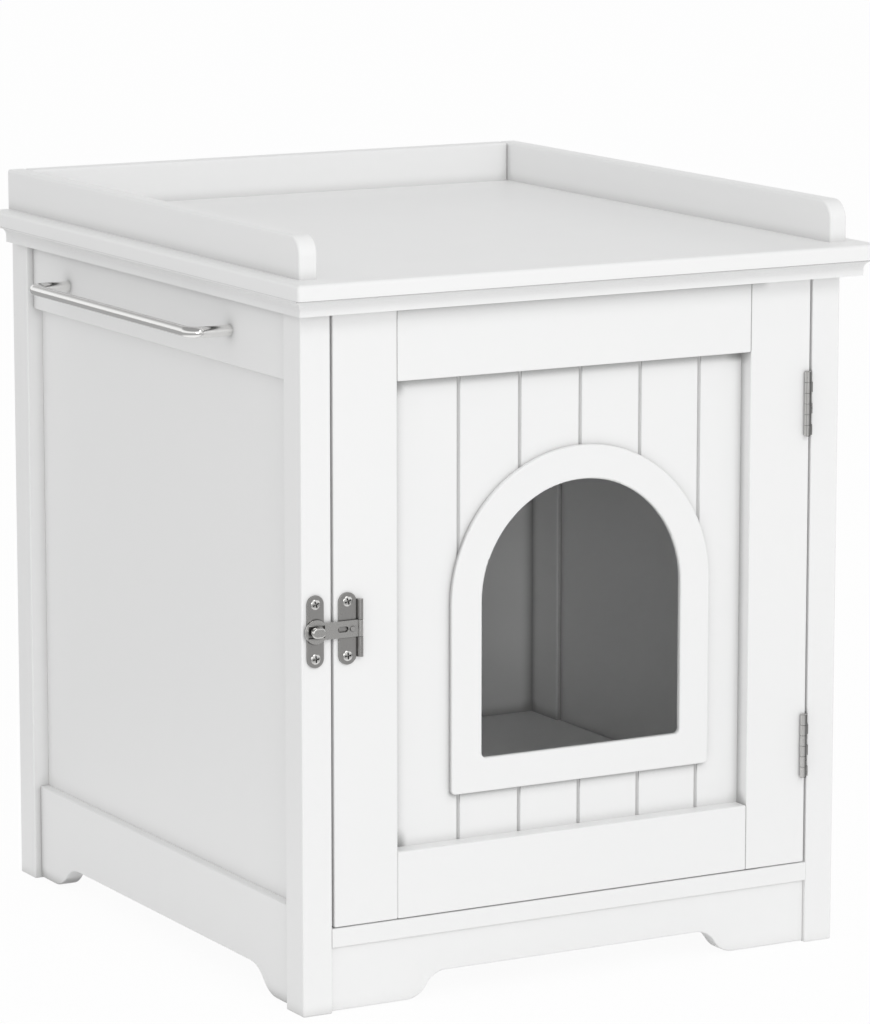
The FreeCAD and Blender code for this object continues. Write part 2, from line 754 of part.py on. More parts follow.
rail_width = f"(2 * {stile_inner})"
rail_x = f"-1 * {stile_inner}"
for name, z, height, rabbet_at in (("top", panel_high, "door_top_rail_height", panel_high),
                                   ("bottom", door_bottom, "door_bottom_rail_height", rabbet_z)):
    rail = board(f"door_{name}_rail", "XZ", [rail_x, door_front, z], rail_width, height, "door_thickness")
    rabbet = block(f"door_{name}_rabbet", [rail_x, rabbet_y, rabbet_at],
                   rail_width, "door_panel_thickness", "rabbet_width")
    finish_board(f"door_{name}_rail", rail, [rabbet])


# Bead-board panel with its arched opening, and the trim round the arch

def arch(margin):
    """The arch's outline about its centre line, on its sill, widened by a margin."""
    half = f"({arch_half} + {margin})"
    base = f"(-1 * ({margin}))"
    sag = sag_of_quarter(half)
    corner = sag_of_quarter("arch_corner_round")
    return [
        (f"{half} - arch_corner_round", base),
        (half, f"{base} + arch_corner_round", "out", corner),
        (half, spring_height),
        ("0", f"{spring_height} + {half}", "out", sag),
        (f"-1 * {half}", spring_height, "out", sag),
        (f"-1 * {half}", f"{base} + arch_corner_round"),
        (f"-1 * {half} + arch_corner_round", base, "out", corner),
    ]


body = new_body("door_panel", ["pattern_shift", rabbet_y, sill_height])
sketch = new_sketch(body, "XZ")
edge = "(rabbet_width - rabbet_clearance)"
left = f"-1 * ({stile_inner} + {edge}) - pattern_shift"
right = f"{stile_inner} + {edge} - pattern_shift"
low = f"{rabbet_z} + rabbet_clearance - {sill_height}"
high = f"{panel_high} + {edge} - {sill_height}"
add_outline(sketch, [(left, low), (right, low), (right, high), (left, high)])
add_outline(sketch, arch("trim_lap"))
pad(body, sketch, "XZ", "door_panel_thickness")
sketch = new_sketch(body, "XY", low)
first_groove = f"-1 * bead_pitch * {bead_groove_count - 1} / 2"
add_outline(sketch, [(f"{first_groove} - bead_groove_width / 2", "0"),
                     (f"{first_groove} + bead_groove_width / 2", "0"),
                     (first_groove, "bead_groove_depth")])
groove = pocket(body, sketch, "XY", f"{high} - ({low})")
pattern = body.newObject("PartDesign::LinearPattern", "bead_grooves")
pattern.Originals = [groove]
pattern.Direction = (sketch, ["H_Axis"])
bind(pattern, "Length", f"bead_pitch * {bead_groove_count - 1}")
pattern.Occurrences = bead_groove_count
body.Tip = pattern
node(body, "door_panel")

body = new_body("arch_trim", ["pattern_shift", f"{rabbet_y} - trim_thickness", sill_height])
sketch = new_sketch(body, "XZ")
add_outline(sketch, arch("trim_width"))
add_outline(sketch, arch("0"))
feature = pad(body, sketch, "XZ", "trim_thickness")
ease(body, feature, "trim_edge_round")
node(body, "arch_trim")

node(group("frame_dowel_group", dowels["frame"]), "frame_dowels")
node(group("door_dowel_group", dowels["door"]), "door_dowels")

# Butt hinges between the right post and the door: knuckles alternate between the leaves

hinge_x = f"({half_opening} - barrel_radius - barrel_inset)"
hinge_y = f"(-{half_depth} - barrel_radius - barrel_proud)"
knuckle_pitch = f"hinge_length / {knuckle_count}"
hinge_heights = {"upper": f"({door_top} - upper_hinge_drop)", "lower": f"({door_bottom} + lower_hinge_rise)"}
leaf_thickness = "((door_side_gap - leaf_clearance) / 2)"
leaf_x = {"post": f"({half_opening} - {leaf_thickness})", "door": door_half}
leaf_face_x = {"post": leaf_x["post"], "door": f"{door_half} + {leaf_thickness}"}
leaf_screw_way = {"post": "+x", "door": "-x"}
fold_front = f"(-{half_depth} - barrel_proud - {leaf_thickness})"
bore_radius = {"post": "pin_radius", "door": "pin_radius + pin_clearance"}
leaves = {"post": [], "door": []}
leaf_screws = {"post": [], "door": []}
hinge_pins = []

for name, height in hinge_heights.items():
    base_z = f"({height} - hinge_length / 2)"
    for first_knuckle, owner in enumerate(leaves):
        key = f"{owner}_leaf_{name}"
        pieces = [block(f"{key}_plate", [leaf_x[owner], f"-{half_depth}", base_z],
                        leaf_thickness, "leaf_depth", "hinge_length")]
        for k in range(first_knuckle, knuckle_count, 2):
            z = f"{base_z} + {k} * {knuckle_pitch} + knuckle_gap / 2"
            span = f"{knuckle_pitch} - knuckle_gap"
            pieces.append(rod(f"{key}_knuckle_{k}", [hinge_x, hinge_y, z], "+z", "barrel_radius", span))
            pieces.append(block(f"{key}_fold_{k}", [hinge_x, fold_front, z],
                                f"{leaf_x[owner]} + {leaf_thickness} - {hinge_x}", leaf_thickness, span))
            pieces.append(block(f"{key}_web_{k}", [leaf_x[owner], fold_front, z],
                                leaf_thickness, f"barrel_proud + 2 * {leaf_thickness}", span))
        screws = []
        for step in ("-1", "1"):
            at = [leaf_face_x[owner], f"-{half_depth} + leaf_screw_inset",
                  f"{height} + {step} * leaf_screw_pitch / 2"]
            screws.append(screw(f"{key}_screw_{len(screws)}", at, leaf_screw_way[owner]))
        bore = rod(f"{key}_bore", [hinge_x, hinge_y, base_z], "+z", bore_radius[owner], "hinge_length")
        leaves[owner].append(cut(f"{key}_cut", join(f"{key}_blank", pieces), [bore] + screws))
        leaf_screws[owner] += screws
    shaft = rod(f"hinge_shaft_{name}", [hinge_x, hinge_y, f"{base_z} - pin_head_height"], "+z",
                "pin_radius", "hinge_length + 2 * pin_head_height")
    low_head = cone(f"hinge_tip_{name}", [hinge_x, hinge_y, base_z], "-z", "barrel_radius",
                    "pin_radius", "pin_head_height")
    high_head = cone(f"hinge_cap_{name}", [hinge_x, hinge_y, f"{base_z} + hinge_length"], "+z",
                     "barrel_radius", "pin_radius", "pin_head_height")
    hinge_pins.append(join(f"hinge_pin_{name}", [shaft, low_head, high_head]))

for owner in leaves:
    node(group(f"{owner}_leaf_group", leaves[owner]), f"hinge_leaves_{owner}")
    node(group(f"{owner}_screw_group", leaf_screws[owner]), f"hinge_screws_{owner}")
node(group("hinge_pin_group", hinge_pins), "hinge_pins")


# Latch: round-ended plates, a turn staple on the post and a hinged hasp on the door

def round_ended(width, length):
    half = f"({width} / 2)"
    reach = f"({length} / 2 - {half})"
    sag = sag_of_quarter(half)
    return [
        (half, reach), ("0", f"{length} / 2", "out", sag), (f"-1 * {half}", reach, "out", sag),
        (f"-1 * {half}", f"-1 * {reach}"), ("0", f"-1 * {length} / 2", "out", sag),
        (half, f"-1 * {reach}", "out", sag),
    ]


def lying(corners, shift="0"):
    """The same outline on its side, with its middle moved along."""
    return [(f"{shift} + {c[1]}", c[0], *c[2:]) for c in corners]


def plate_screws(name, x, y):
    reach = "(latch_plate_length / 2 - latch_screw_inset)"
    return [screw(f"{name}_screw_{step}", [x, y, f"{latch_height} + {step} * {reach}"], "+y",
                  "latch_screw_head_radius", "latch_plate_thickness")
            for step in ("-1", "1")]


plate_face = f"(-{half_depth} - latch_plate_thickness)"
hasp_back = f"({plate_face} - staple_clearance)"
hasp_front = f"({hasp_back} - hasp_thickness)"
hasp_axis_y = f"({hasp_back} - hasp_thickness / 2)"
hasp_barrel_radius = f"(-{half_depth} - {hasp_axis_y} - hasp_barrel_clearance)"
hasp_barrel_bottom = f"({latch_height} - hasp_barrel_length / 2)"
hasp_plate_left = f"(-1 * {door_half} + hasp_plate_edge)"
hasp_plate_right = f"({hasp_plate_left} + hasp_plate_width)"
hasp_axis_x = f"({hasp_plate_right} + {hasp_barrel_radius} + staple_clearance)"
hasp_plate_middle = f"({hasp_plate_left} + hasp_plate_width / 2)"

plate = new_body("latch_plate", [staple_x, plate_face, latch_height])
sketch = new_sketch(plate, "XZ")
add_outline(sketch, round_ended("latch_plate_width", "latch_plate_length"))
pad(plate, sketch, "XZ", "latch_plate_thickness")
post_screws = plate_screws("latch_post", staple_x, plate_face)
stem_hole = rod("latch_stem_hole", [staple_x, plate_face, latch_height], "+y",
                "staple_stem_radius + pin_clearance", "latch_plate_thickness")
node(cut("latch_plate_cut", plate, post_screws + [stem_hole]), "latch_post_plate")
node(group("latch_post_screw_group", post_screws), "latch_post_screws")

# The staple's head passes the hasp's eye lengthways and holds it when turned across
head_back = f"({hasp_front} - staple_clearance)"
head = new_body("staple_head", [staple_x, f"{head_back} - staple_head_thickness", latch_height])
sketch = new_sketch(head, "XZ")
add_outline(sketch, lying(round_ended("staple_head_width", "staple_head_length")))
feature = pad(head, sketch, "XZ", "staple_head_thickness")
ease(head, feature, "staple_head_width / 6")
neck = rod("staple_neck", [staple_x, f"{plate_face} - pin_clearance", latch_height], "-y",
           "staple_neck_radius", f"{plate_face} - pin_clearance - {head_back} + staple_clearance")
stem = rod("staple_stem", [staple_x, f"{plate_face} - 2 * pin_clearance", latch_height], "+y",
           "staple_stem_radius", "latch_plate_thickness + staple_flange_height + 3 * pin_clearance")
flange = rod("staple_flange", [staple_x, f"-{half_depth} + pin_clearance", latch_height], "+y",
             "staple_flange_radius", "staple_flange_height")
node(join("staple_join", [head, neck, stem, flange]), "turn_staple")

plate = new_body("hasp_base", [hasp_plate_middle, plate_face, latch_height])
sketch = new_sketch(plate, "XZ")
add_outline(sketch, round_ended("hasp_plate_width", "latch_plate_length"))
pad(plate, sketch, "XZ", "latch_plate_thickness")
knuckle_length = "((hasp_barrel_length - hasp_height) / 2 - knuckle_gap)"
pieces = [plate]
for name, z in (("low", hasp_barrel_bottom),
                ("high", f"{latch_height} + hasp_height / 2 + knuckle_gap")):
    pieces.append(rod(f"hasp_knuckle_{name}", [hasp_axis_x, hasp_axis_y, z], "+z",
                      hasp_barrel_radius, knuckle_length))
    pieces.append(block(f"hasp_web_{name}", [hasp_plate_middle, plate_face, z],
                        f"{hasp_axis_x} - {hasp_plate_middle}", "latch_plate_thickness", knuckle_length))
door_screws = plate_screws("latch_door", hasp_plate_middle, plate_face)
hasp_bore = rod("hasp_bore", [hasp_axis_x, hasp_axis_y, hasp_barrel_bottom], "+z",
                "hasp_pin_radius", "hasp_barrel_length")
node(cut("hasp_plate_cut", join("hasp_plate_blank", pieces), [hasp_bore] + door_screws), "hasp_plate")
node(group("latch_door_screw_group", door_screws), "latch_door_screws")
node(rod("hasp_pin_rod", [hasp_axis_x, hasp_axis_y, hasp_barrel_bottom], "+z",
         "hasp_pin_radius", "hasp_barrel_length"), "hasp_pin")

arm = new_body("hasp_arm_plate", [staple_x, hasp_front, latch_height])
sketch = new_sketch(arm, "XZ")
arm_length = f"({hasp_axis_x} - {staple_x})"
eye_length = "(staple_head_length + 2 * hasp_eye_clearance)"
eye_height = "(staple_head_width + hasp_eye_clearance)"
eye_radius = f"({eye_length} / 2 + hasp_eye_wall)"
eye_run = f"sqrt({eye_radius}^2 - (hasp_height / 2)^2)"
eye_chord_squared = f"(({eye_radius} + {eye_run})^2 + (hasp_height / 2)^2)"
eye_sag = f"({eye_radius} - sqrt({eye_radius}^2 - {eye_chord_squared} / 4))"
add_outline(sketch, [
    (arm_length, "-1 * hasp_height / 2"), (arm_length, "hasp_height / 2"),
    (eye_run, "hasp_height / 2"),
    (f"-1 * {eye_radius}", "0", "out", eye_sag),
    (eye_run, "-1 * hasp_height / 2", "out", eye_sag),
])
add_outline(sketch, [(f"{u} * {eye_length} / 2", f"{v} * {eye_height} / 2")
                     for u, v in (("-1", "-1"), ("1", "-1"), ("1", "1"), ("-1", "1"))])
slot_end = f"({eye_radius} + hasp_slot_start + hasp_slot_length)"
slot_outline = round_ended("hasp_slot_height", "hasp_slot_length")
add_outline(sketch, lying(slot_outline, f"{slot_end} - hasp_slot_length / 2"))
pad(arm, sketch, "XZ", "hasp_thickness")
stud = rod("hasp_stud", [f"{staple_x} + {slot_end} + hasp_stud_gap", hasp_back, latch_height], "-y",
           "hasp_stud_radius", "hasp_thickness + hasp_stud_height")
arm_bottom = f"{latch_height} - hasp_height / 2"
arm_knuckle = rod("hasp_arm_knuckle", [hasp_axis_x, hasp_axis_y, arm_bottom], "+z",
                  hasp_barrel_radius, "hasp_height")
arm_bore = rod("hasp_arm_bore", [hasp_axis_x, hasp_axis_y, arm_bottom], "+z",
               "hasp_pin_radius + pin_clearance", "hasp_height")
node(cut("hasp_arm_cut", join("hasp_arm_blank", [arm, arm_knuckle, stud]), [arm_bore]), "hasp_arm")

# Recompute, test every object and write the sub-parts

doc.recompute()
faults = [o.Name for o in doc.Objects if any(word in o.State for word in ("Invalid", "Error"))]
faults += [o.Label for o in nodes if o.Shape.isNull() or not o.Shape.isValid() or not o.Shape.Solids]
if faults:
    raise RuntimeError("failed: " + ", ".join(faults))

os.makedirs("parts", exist_ok=True)
for obj in nodes:
    obj.Shape.exportStep(f"parts/{obj.Label}.step")
print(len(nodes), "sub-parts written")
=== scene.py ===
import json
import math

import bmesh
import bpy
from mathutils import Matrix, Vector


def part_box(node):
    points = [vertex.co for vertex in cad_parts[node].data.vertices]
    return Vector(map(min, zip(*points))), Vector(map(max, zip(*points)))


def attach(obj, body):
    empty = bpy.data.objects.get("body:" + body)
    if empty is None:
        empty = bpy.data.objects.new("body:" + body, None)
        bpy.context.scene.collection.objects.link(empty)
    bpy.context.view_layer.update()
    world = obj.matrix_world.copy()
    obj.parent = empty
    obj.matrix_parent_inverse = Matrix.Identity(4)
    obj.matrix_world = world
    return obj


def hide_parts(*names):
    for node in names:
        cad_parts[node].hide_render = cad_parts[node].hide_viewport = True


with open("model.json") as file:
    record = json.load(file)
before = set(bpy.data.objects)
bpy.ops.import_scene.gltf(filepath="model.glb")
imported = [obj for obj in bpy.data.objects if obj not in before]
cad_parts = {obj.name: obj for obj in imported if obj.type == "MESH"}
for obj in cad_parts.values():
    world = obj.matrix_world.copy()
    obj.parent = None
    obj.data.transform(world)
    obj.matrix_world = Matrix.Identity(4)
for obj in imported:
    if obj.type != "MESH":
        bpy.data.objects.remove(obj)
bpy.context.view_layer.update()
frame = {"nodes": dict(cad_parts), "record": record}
nodes = frame["nodes"]
scene = bpy.context.scene
scene.view_settings.view_transform = "Standard"


class Wire:  # a socket in a node tree: sums on it add Math nodes
    def __init__(self, tree, socket=None):
        self.tree, self.socket = tree, socket

    def node(self, kind, settings=None, inputs=None, out=0):
        made = self.tree.nodes.new(kind)
        for key, value in (settings or {}).items():
            if key == "stops":  # a ramp's stops as (place, grey) pairs
                ramp = made.color_ramp.elements
                while len(ramp) < len(value):
                    ramp.new(1.0)
                for element, (place, grey) in zip(ramp, value):
                    element.position, element.color = place, (grey, grey, grey, 1)
            else:
                setattr(made, key, value)
        for key, value in (inputs or {}).items():
            if isinstance(value, Wire):
                self.tree.links.new(value.socket, made.inputs[key])
            else:
                made.inputs[key].default_value = value
        return Wire(self.tree, made.outputs[out] if len(made.outputs) else None)

    def sum(self, operation, first, second):
        return self.node("ShaderNodeMath", {"operation": operation}, {0: first, 1: second})

    def __add__(self, other):
        return self.sum("ADD", self, other)

    def __sub__(self, other):
        return self.sum("SUBTRACT", self, other)

    def __mul__(self, other):
        return self.sum("MULTIPLY", self, other)

    def __rsub__(self, other):
        return self.sum("SUBTRACT", other, self)

    __radd__, __rmul__ = __add__, __mul__


def blendColour(wire, amount, first, second):
    return wire.node("ShaderNodeMix", {"data_type": "RGBA"}, {0: amount, 6: first, 7: second}, out=2)


def startFinish(name):  # an empty material, its wire and its object coordinates
    material = bpy.data.materials.new(name)
    material.use_nodes = True
    material.node_tree.nodes.clear()
    wire = Wire(material.node_tree)
    return material, wire, wire.node("ShaderNodeTexCoord", out="Object")


def endFinish(wire, settings):
    shader = wire.node("ShaderNodeBsdfPrincipled", inputs=settings)
    wire.node("ShaderNodeOutputMaterial", inputs={"Surface": shader})


def stretched(wire, place, scale):
    return wire.node("ShaderNodeMapping", inputs={"Vector": place, "Scale": scale})


def noise(wire, place, grain):  # grain holds the scale, detail and roughness of the pattern
    scale, detail, rough = grain
    return wire.node("ShaderNodeTexNoise",
                     inputs={"Vector": place, "Scale": scale, "Detail": detail, "Roughness": rough})


def swing(pattern, spread):  # half the spread each way as the pattern goes from 0 to 1
    return (pattern - 0.5) * spread


def bumped(wire, strength, height):
    return wire.node("ShaderNodeBump", inputs={"Strength": strength, "Distance": 1.0, "Height": height})


def fading(wire, value, span, first, last):  # first before the span, last after it
    start, end = span
    return wire.node("ShaderNodeMapRange", {"interpolation_type": "SMOOTHSTEP"}, {
        "Value": value, "From Min": start, "From Max": end, "To Min": first, "To Max": last})


def between(wire, value, rise, fall):  # 1 from the end of the rise to the start of the fall
    return fading(wire, value, rise, 0.0, 1.0) * fading(wire, value, fall, 1.0, 0.0)


# painted shade in corners: how closed a corner is, and how far a face looks up before it is left unshaded,
# as lit from above
shadeLook = {"samples": 8, "openness": (0.4, 1.0), "upward": (0.3, 0.9)}


def shadedCorners(wire, reach):  # painted shade mask: nothing on open faces, 1 in grooves and tight corners
    openness = wire.node("ShaderNodeAmbientOcclusion", {"samples": shadeLook["samples"]},
                         {"Distance": reach}, out="AO")
    return fading(wire, openness, shadeLook["openness"], 1.0, 0.0)


def past(wire, place, axis, span):  # nothing before the span along an axis, 1 after it
    along = wire.node("ShaderNodeSeparateXYZ", inputs={0: place}, out=axis)
    return fading(wire, along, span, 0.0, 1.0)


def ledges(wire):  # 1 on faces that look up
    return past(wire, wire.node("ShaderNodeTexCoord", out="Normal"), "Z", shadeLook["upward"])


# white sprayed paint on board, with painted shade in its corners and creases
paintLook = {
    "colour": (0.905, 0.905, 0.9, 1), "cooler": (0.885, 0.888, 0.89, 1),
    "toneShare": 0.7, "smudgeShare": 0.3, "tone": (5.0, 3.0, 0.5), "smudge": (35.0, 4.0, 0.6),
    "peel": (620.0, 1.0, 0.5), "roll": (90.0, 2.0, 0.5),
    "roughness": 0.4, "smudgeRough": 0.1, "peelRough": 0.04, "gloss": 0.45,
    "bump": 0.6, "peelHeight": 0.00002, "rollHeight": 0.00005,
    "creaseShade": (0.44, 0.44, 0.437, 1), "creaseReach": 0.012,
}
# lighter painted shade in the corners
lightShadeLook = dict(paintLook, creaseShade=(0.72, 0.72, 0.717, 1), creaseReach=0.01)
lightShadeNodes = [
    "door_bottom_rail", "post_front_left", "post_rear_left", "post_rear_right", "top_board",
    "gallery_left", "gallery_right", "gallery_back",
]
# faint painted shade in the corners of open faces
faintShadeLook = dict(paintLook, creaseShade=(0.84, 0.84, 0.837, 1))
faintShadeNodes = [
    "side_panel_left", "side_panel_right", "front_apron", "front_ledge", "door_stile_left",
    "post_front_right",
]
# the door's panel, with a darker painted shadow along its frame than the painted shade in its grooves
panelLook = dict(lightShadeLook, frameShadow=(0.3, 0.3, 0.298, 1), frameReach=0.016, stileBand=(0.01, 0.017),
                 railBand=(0.004, 0.01), grooveStart=(0.0003, 0.001))
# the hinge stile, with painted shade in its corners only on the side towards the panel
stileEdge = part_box("door_stile_right")[0].x
stileLook = dict(paintLook, unshadedFrom=(stileEdge + 0.008, stileEdge + 0.018))


def frameShadowMask(wire, place, look):  # painted shadow mask: 1 along the left stile and under the top rail and the arch trim
    split = wire.node("ShaderNodeSeparateXYZ", inputs={0: place}).socket.node
    across, deep, up = (Wire(wire.tree, split.outputs[axis]) for axis in "XYZ")
    stile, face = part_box("door_stile_left")[1].x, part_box("door_panel")[0].y
    near, far = look["railBand"]
    band = fading(wire, across, [stile + reach for reach in look["stileBand"]], 1.0, 0.0)
    for piece in ("door_top_rail", "arch_trim"):
        low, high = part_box(piece)
        below = between(wire, up, (low.z - far, low.z - near), (low.z, low.z + near))
        under = between(wire, across, (low.x - near, low.x), (high.x, high.x + near))
        band = wire.sum("MAXIMUM", band, below * under)
    outside = fading(wire, deep, [face + depth for depth in look["grooveStart"]], 1.0, 0.0)
    return band * outside * shadedCorners(wire, look["frameReach"])


def paintFinish(name, look):
    material, wire, place = startFinish(name)
    patterns = ("tone", "smudge", "peel", "roll")
    tone, smudge, peel, roll = (noise(wire, place, look[pattern]) for pattern in patterns)
    mottle = tone * look["toneShare"] + smudge * look["smudgeShare"]
    colour = blendColour(wire, mottle, look["colour"], look["cooler"])
    # painted shade in corners and creases, none on faces that look up since light falls on them from above
    creaseShade = shadedCorners(wire, look["creaseReach"]) * (1 - ledges(wire))
    # no painted shade past this span across the stile
    if "unshadedFrom" in look:
        creaseShade = creaseShade * (1 - past(wire, place, "X", look["unshadedFrom"]))
    colour = blendColour(wire, creaseShade, colour, look["creaseShade"])
    # painted shadow along the left stile and under the top rail and the arch trim
    if "frameShadow" in look:
        colour = blendColour(wire, frameShadowMask(wire, place, look), colour, look["frameShadow"])
    roughness = look["roughness"] + swing(smudge, look["smudgeRough"]) + swing(peel, look["peelRough"])
    normal = bumped(wire, look["bump"], peel * look["peelHeight"] + roll * look["rollHeight"])
    endFinish(wire, {"Base Color": colour, "Roughness": roughness, "Normal": normal,
                     "Specular IOR Level": look["gloss"]})
    return material


# plated hardware: stamped plates, pins and screws, with painted shade in hollows and around edges
nickelLook = {
    "bright": (0.56, 0.55, 0.54, 1), "dull": (0.38, 0.375, 0.365, 1),
    "cloudShare": 0.6, "scratchShare": 0.3, "cloud": (140.0, 4.0, 0.6),
    "scratch": (900.0, 3.0, 0.5), "scratchStretch": (1.0, 1.0, 0.06),
    "roughness": 0.3, "cloudRough": 0.16, "scratchRough": 0.1, "bump": 0.5, "scratchHeight": 0.00001,
    "hollowShade": (0.06, 0.06, 0.058, 1), "hollowShadeReach": 0.0015,
}
armLook = dict(nickelLook, bright=(0.76, 0.75, 0.735, 1), dull=(0.56, 0.555, 0.54, 1), roughness=0.25,
               hollowShadeReach=0.003)
armNodes = ["hasp_arm", "turn_staple"]
screwLook = dict(nickelLook, bright=(0.8, 0.795, 0.78, 1), dull=(0.6, 0.595, 0.58, 1), roughness=0.22)
# butt hinges, with painted shade on the side of the knuckles towards the gap
pinLow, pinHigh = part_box("hinge_pins")
pinMiddle = (pinLow + pinHigh) / 2
hingeLook = dict(nickelLook, bright=(0.72, 0.71, 0.7, 1), dull=(0.5, 0.495, 0.48, 1), darkSideShare=0.8,
                 darkSideFrom=(pinMiddle.x - 0.0008, pinMiddle.x + 0.001),
                 darkSideTo=(pinMiddle.y + 0.001, pinMiddle.y + 0.0024))
hingeNodes = ["hinge_leaves_post", "hinge_leaves_door"]


def platedFinish(name, look):
    material, wire, place = startFinish(name)
    cloud = noise(wire, place, look["cloud"])
    scratch = noise(wire, stretched(wire, place, look["scratchStretch"]), look["scratch"])
    wear = cloud * look["cloudShare"] + scratch * look["scratchShare"]
    colour = blendColour(wire, wear, look["bright"], look["dull"])
    # painted shade in the hardware's hollows and around its edges
    colour = blendColour(wire, shadedCorners(wire, look["hollowShadeReach"]), colour, look["hollowShade"])
    # painted shade on the knuckles' side towards the gap
    if "darkSideFrom" in look:
        darkSide = past(wire, place, "X", look["darkSideFrom"]) * (1 - past(wire, place, "Y", look["darkSideTo"]))
        colour = blendColour(wire, darkSide * look["darkSideShare"], colour, look["hollowShade"])
    roughness = look["roughness"] + swing(cloud, look["cloudRough"]) + swing(scratch, look["scratchRough"])
    normal = bumped(wire, look["bump"], scratch * look["scratchHeight"])
    endFinish(wire, {"Base Color": colour, "Metallic": 1.0, "Roughness": roughness, "Normal": normal})
    return material


# towel bar: steel rod, drawn and polished along its length
barLook = {
    "bright": (0.93, 0.925, 0.915, 1), "dull": (0.78, 0.775, 0.765, 1),
    "drawnShare": 0.5, "cloudShare": 0.4, "cloud": (30.0, 3.0, 0.5),
    "drawn": (1400.0, 2.0, 0.5), "drawnStretch": (1.0, 0.02, 1.0),
    "roughness": 0.13, "cloudRough": 0.08, "drawnRough": 0.08, "bump": 0.4, "drawnHeight": 0.000008,
}


def drawnFinish(name, look):
    material, wire, place = startFinish(name)
    drawn = noise(wire, stretched(wire, place, look["drawnStretch"]), look["drawn"])
    cloud = noise(wire, place, look["cloud"])
    wear = drawn * look["drawnShare"] + cloud * look["cloudShare"]
    colour = blendColour(wire, wear, look["bright"], look["dull"])
    roughness = look["roughness"] + swing(cloud, look["cloudRough"]) + swing(drawn, look["drawnRough"])
    normal = bumped(wire, look["bump"], drawn * look["drawnHeight"])
    endFinish(wire, {"Base Color": colour, "Metallic": 1.0, "Roughness": roughness, "Normal": normal})
    return material


# bare beech of the dowels
beechLook = {
    "pale": (0.62, 0.43, 0.26, 1), "dark": (0.42, 0.26, 0.14, 1), "fleck": ((0.52, 0.0), (0.62, 1.0)),
    "grain": (260.0, 4.0, 0.6), "grainStretch": (0.2, 0.2, 1.0),
    "roughness": 0.6, "grainRough": 0.15, "bump": 0.4, "grainHeight": 0.00005,
}


def beechFinish(name, look):
    material, wire, place = startFinish(name)
    grain = noise(wire, stretched(wire, place, look["grainStretch"]), look["grain"])
    fleck = wire.node("ShaderNodeValToRGB", {"stops": look["fleck"]}, {"Fac": grain})
    colour = blendColour(wire, fleck, look["pale"], look["dark"])
    roughness = look["roughness"] + grain * look["grainRough"]
    normal = bumped(wire, look["bump"], grain * look["grainHeight"])
    endFinish(wire, {"Base Color": colour, "Roughness": roughness, "Normal": normal})
    return material


finishes = {
    "white_paint": paintFinish("whitePaint", paintLook),
    "nickel_plate": platedFinish("nickelPlate", nickelLook),
    "screw_steel": platedFinish("screwPlate", screwLook),
    "bar_steel": drawnFinish("drawnSteel", barLook),
    "beech": beechFinish("bareBeech", beechLook),
}
for entry in frame["record"]["subparts"]:
    mesh = nodes[entry["node"]].data
    mesh.materials.clear()
    mesh.materials.append(finishes[entry["material_slot"]])
special = dict.fromkeys(lightShadeNodes, paintFinish("lightShadePaint", lightShadeLook))
special.update(dict.fromkeys(faintShadeNodes, paintFinish("faintShadePaint", faintShadeLook)))
special["door_panel"] = paintFinish("panelPaint", panelLook)
special["door_stile_right"] = paintFinish("stilePaint", stileLook)
special.update(dict.fromkeys(hingeNodes, platedFinish("hingePlate", hingeLook)))
special.update(dict.fromkeys(armNodes, platedFinish("armPlate", armLook)))
for name, finish in special.items():
    nodes[name].data.materials[0] = finish
print("finishes:", ", ".join(finishes), "and", len(special), "nodes with their own")


# cross-head screws, one tree for countersunk, raised and pan heads
sunkScrew = {"Head Radius": 0.0026, "Neck Radius": 0.0012, "Head Depth": 0.0015, "Dome": 0.0,
             "Shank Length": 0.0105, "Cross Width": 0.0007, "Cross Reach": 0.0016, "Cross Depth": 0.0009}
raisedScrew = {"Head Radius": 0.0042, "Neck Radius": 0.0012, "Head Depth": 0.0015, "Dome": 0.0009,
               "Shank Length": 0.0105, "Cross Width": 0.0011, "Cross Reach": 0.0027, "Cross Depth": 0.0012}
panScrew = {"Head Radius": 0.004, "Neck Radius": 0.0036, "Head Depth": 0.0022, "Dome": 0.0008,
            "Shank Length": 0.0, "Cross Width": 0.0009, "Cross Reach": 0.0024, "Cross Depth": 0.0014}
screwMesh = {"sides": 32, "rings": 12, "shankSides": 16, "crownShare": 0.97, "shankShare": 0.98,
             "overlap": 0.0001, "seed": 7}


